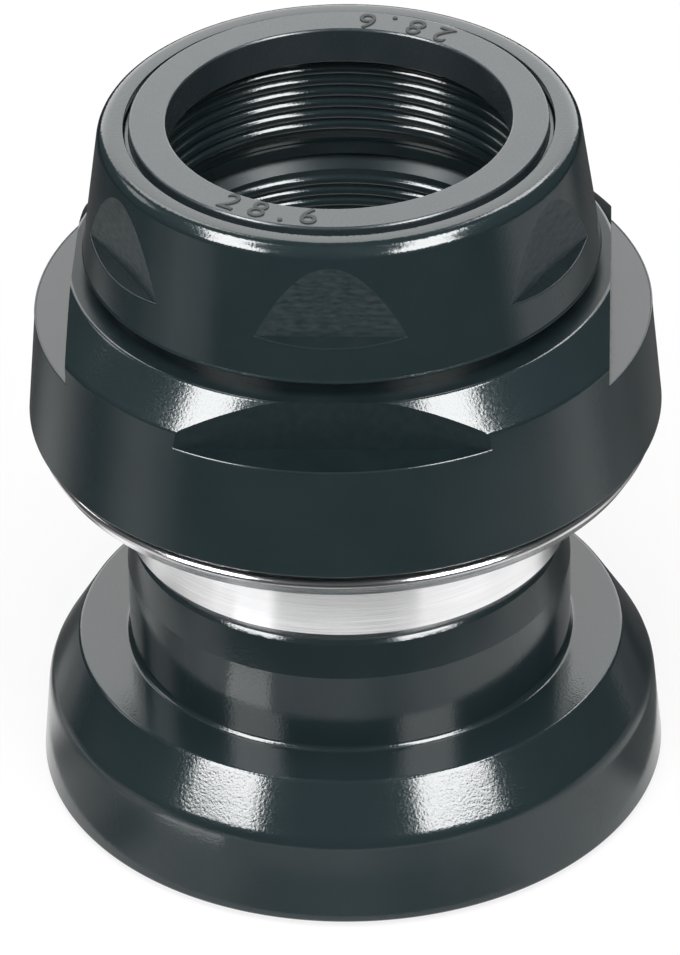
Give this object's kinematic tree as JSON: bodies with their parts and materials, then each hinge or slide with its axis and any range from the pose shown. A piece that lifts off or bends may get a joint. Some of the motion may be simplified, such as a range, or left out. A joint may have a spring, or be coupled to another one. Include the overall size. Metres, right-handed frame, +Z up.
{
  "type": "bicycle headset",
  "caption": "Threaded bicycle headset standing as a loose stack: locknut, adjusting race, two head cups, caged ball bearings and a crown race round an open steerer passage.",
  "frame": {"origin": "on the steering axis at the crown race's base, the face that it stands on", "axes": "+Z up along the steering axis, towards the locknut; one spanner flat of locknut and race faces -Y"},
  "size_m": [0.0482, 0.0482, 0.0567],
  "materials": {
    "black_alloy": "black anodised, glossy, fine turned grain",
    "bare_alloy": "bare turned metal, bright",
    "black_ring": "black, satin",
    "washer_steel": "blackened steel",
    "track_steel": "hardened and ground",
    "ball_steel": "polished",
    "cage_steel": "pressed, zinc yellow tint",
    "seal_rubber": "matt black"
  },
  "bodies": {
    "cups": {"lower_cup": "black_alloy", "lower_cup_track": "track_steel", "upper_cup": "bare_alloy", "upper_cone_track": "track_steel", "upper_seal": "seal_rubber"},
    "upper_race": {"adjusting_race": "black_alloy", "adjusting_race_track": "track_steel", "lock_washer": "washer_steel", "locknut": "black_alloy", "stem_seal_ring": "black_ring"},
    "upper_bearing": {"upper_balls": "ball_steel", "upper_ball_cage": "cage_steel"},
    "crown": {"crown_race": "track_steel", "lower_seal": "seal_rubber"},
    "lower_bearing": {"lower_balls": "ball_steel", "lower_ball_cage": "cage_steel"}
  },
  "joints": [
    {"name": "adjusting_race_turn", "type": "hinge", "parent": "cups", "child": "upper_race", "pos_m": [0, 0, 0.03546], "axis": [0, 0, 1], "continuous": true},
    {"name": "upper_bearing_roll", "type": "hinge", "parent": "cups", "child": "upper_bearing", "pos_m": [0, 0, 0.03546], "axis": [0, 0, 1], "continuous": true},
    {"name": "crown_race_turn", "type": "hinge", "parent": "cups", "child": "crown", "pos_m": [0, 0, 0.00486], "axis": [0, 0, 1], "continuous": true},
    {"name": "lower_bearing_roll", "type": "hinge", "parent": "cups", "child": "lower_bearing", "pos_m": [0, 0, 0.00486], "axis": [0, 0, 1], "continuous": true}
  ],
  "couplings": [
    {"joint": "upper_bearing_roll", "follows": "adjusting_race_turn", "ratio": 0.5377},
    {"joint": "lower_bearing_roll", "follows": "crown_race_turn", "ratio": 0.4623}
  ]
}
